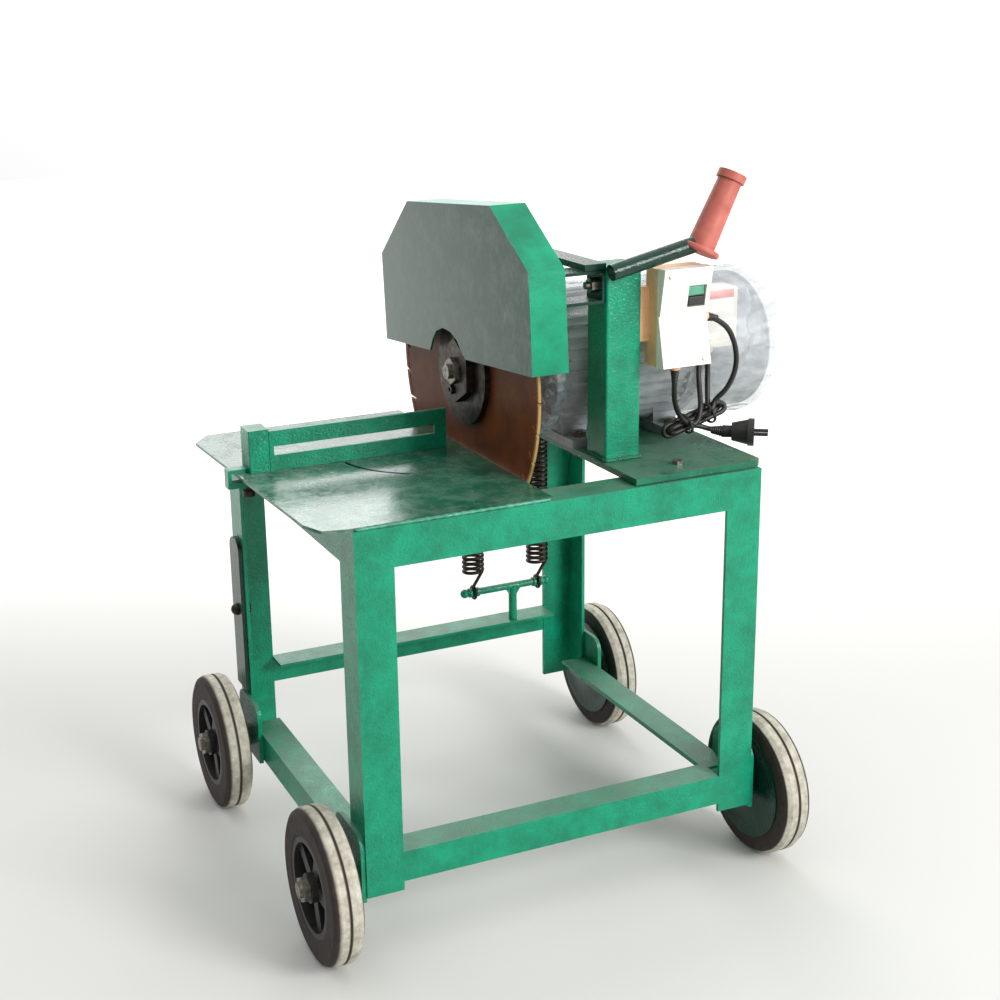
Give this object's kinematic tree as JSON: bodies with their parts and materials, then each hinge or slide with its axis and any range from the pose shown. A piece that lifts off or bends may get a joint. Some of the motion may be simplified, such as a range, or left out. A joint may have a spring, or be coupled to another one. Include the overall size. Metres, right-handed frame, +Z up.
{
  "type": "slab saw",
  "caption": "Angle-iron trolley saw with steel table, sliding fence, guarded disc blade and tilting direct-drive motor head on a rear pivot with return springs.",
  "frame": {"origin": "centre of the machine's footprint box, on the floor under the wheels", "axes": "+Z up, +X along the front rail towards the fan end of the motor, +Y from the operator's side to the rear"},
  "size_m": [0.766, 0.65, 0.9468],
  "materials": {
    "frame_green": "gloss enamel",
    "dark_green": "gloss enamel",
    "table_green": "worn gloss",
    "guard_green": "gloss enamel",
    "steel": "plain",
    "black_steel": "oiled",
    "coral": "satin",
    "beige": "satin",
    "white_plastic": "satin",
    "green_plastic": "satin",
    "black_plastic": "satin",
    "motor_grey": "painted casting",
    "blade_brown": "painted",
    "cable": "satin",
    "tyre_black": "dusty"
  },
  "bodies": {
    "frame": {"leg_front_left": "frame_green", "leg_front_right": "frame_green", "leg_rear_left": "frame_green", "leg_rear_right": "frame_green", "rail_top_front": "frame_green", "rail_top_left": "frame_green", "rail_top_right": "frame_green", "rail_top_rear": "frame_green", "rail_low_front": "frame_green", "rail_low_rear": "frame_green", "rail_low_left": "frame_green", "rail_low_right": "frame_green", "pivot_lugs": "frame_green", "spring_bar": "frame_green", "axle_brackets": "frame_green", "table_plate": "table_green", "pivot_shaft": "steel", "stub_axles": "steel", "prop_bolt": "steel", "spring_left": "black_steel", "spring_right": "black_steel"},
    "head": {"rocker_plate": "table_green", "column": "frame_green", "guard_arm": "dark_green", "blade_guard": "guard_green", "handle_tube": "dark_green", "handle_grip": "coral", "switch_base": "beige", "switch_cover": "white_plastic", "motor_stator": "motor_grey", "terminal_box": "white_plastic", "motor_front_bell": "motor_grey", "motor_rear_bell": "motor_grey", "motor_feet": "motor_grey", "fan_cowl": "motor_grey", "head_bolts": "steel", "cord_supply": "cable", "cord_leads": "cable", "cord_tail": "cable", "cord_hank": "cable", "plug": "black_plastic"},
    "rotor": {"motor_rotor": "steel", "blade": "blade_brown", "outer_flange": "black_steel", "spindle_nut": "steel", "cooling_fan": "black_plastic"},
    "start_button": {"start_button": "green_plastic"},
    "stop_button": {"stop_button": "black_plastic"},
    "fence": {"fence_strip": "frame_green", "fence_clamp": "frame_green"},
    "fence_screw": {"fence_screw": "steel"},
    "prop_bar": {"prop_bar": "dark_green"},
    "wheel_front_left": {"wheel_front_left_tyre": "tyre_black", "wheel_front_left_hub": "black_plastic"},
    "wheel_rear_left": {"wheel_rear_left_tyre": "tyre_black", "wheel_rear_left_hub": "black_plastic"},
    "wheel_front_right": {"wheel_front_right_tyre": "tyre_black", "wheel_front_right_hub": "black_plastic"},
    "wheel_rear_right": {"wheel_rear_right_tyre": "tyre_black", "wheel_rear_right_hub": "black_plastic"}
  },
  "joints": [
    {"name": "head_tilt", "type": "hinge", "parent": "frame", "child": "head", "pos_m": [0.129, 0.141, 0.553], "axis": [-1, 0, 0], "range_deg": [0, 30], "deforming": ["spring_left", "spring_right"]},
    {"name": "spindle_spin", "type": "hinge", "parent": "head", "child": "rotor", "pos_m": [-0.007, -0.009, 0.6825], "axis": [1, 0, 0], "continuous": true},
    {"name": "start_press", "type": "slide", "parent": "head", "child": "start_button", "axis": [0, 1, 0], "range_m": [0, 0.003], "stiffness_N_per_m": 300},
    {"name": "stop_press", "type": "slide", "parent": "head", "child": "stop_button", "axis": [0, 1, 0], "range_m": [0, 0.003], "stiffness_N_per_m": 300},
    {"name": "fence_slide", "type": "slide", "parent": "frame", "child": "fence", "axis": [0, 1, 0], "range_m": [-0.2, 0.12]},
    {"name": "fence_screw_turn", "type": "hinge", "parent": "fence", "child": "fence_screw", "pos_m": [-0.343, 0.022, 0.543], "axis": [0, 0, 1], "continuous": true},
    {"name": "prop_swing", "type": "hinge", "parent": "frame", "child": "prop_bar", "pos_m": [-0.31, 0.218, 0.307], "axis": [1, 0, 0], "range_deg": [-90, 90]},
    {"name": "roll_front_left", "type": "hinge", "parent": "frame", "child": "wheel_front_left", "pos_m": [-0.349, -0.225, 0.1], "axis": [1, 0, 0], "continuous": true},
    {"name": "roll_rear_left", "type": "hinge", "parent": "frame", "child": "wheel_rear_left", "pos_m": [-0.349, 0.225, 0.1], "axis": [1, 0, 0], "continuous": true},
    {"name": "roll_front_right", "type": "hinge", "parent": "frame", "child": "wheel_front_right", "pos_m": [0.295, -0.225, 0.1], "axis": [1, 0, 0], "continuous": true},
    {"name": "roll_rear_right", "type": "hinge", "parent": "frame", "child": "wheel_rear_right", "pos_m": [0.295, 0.225, 0.1], "axis": [1, 0, 0], "continuous": true}
  ]
}
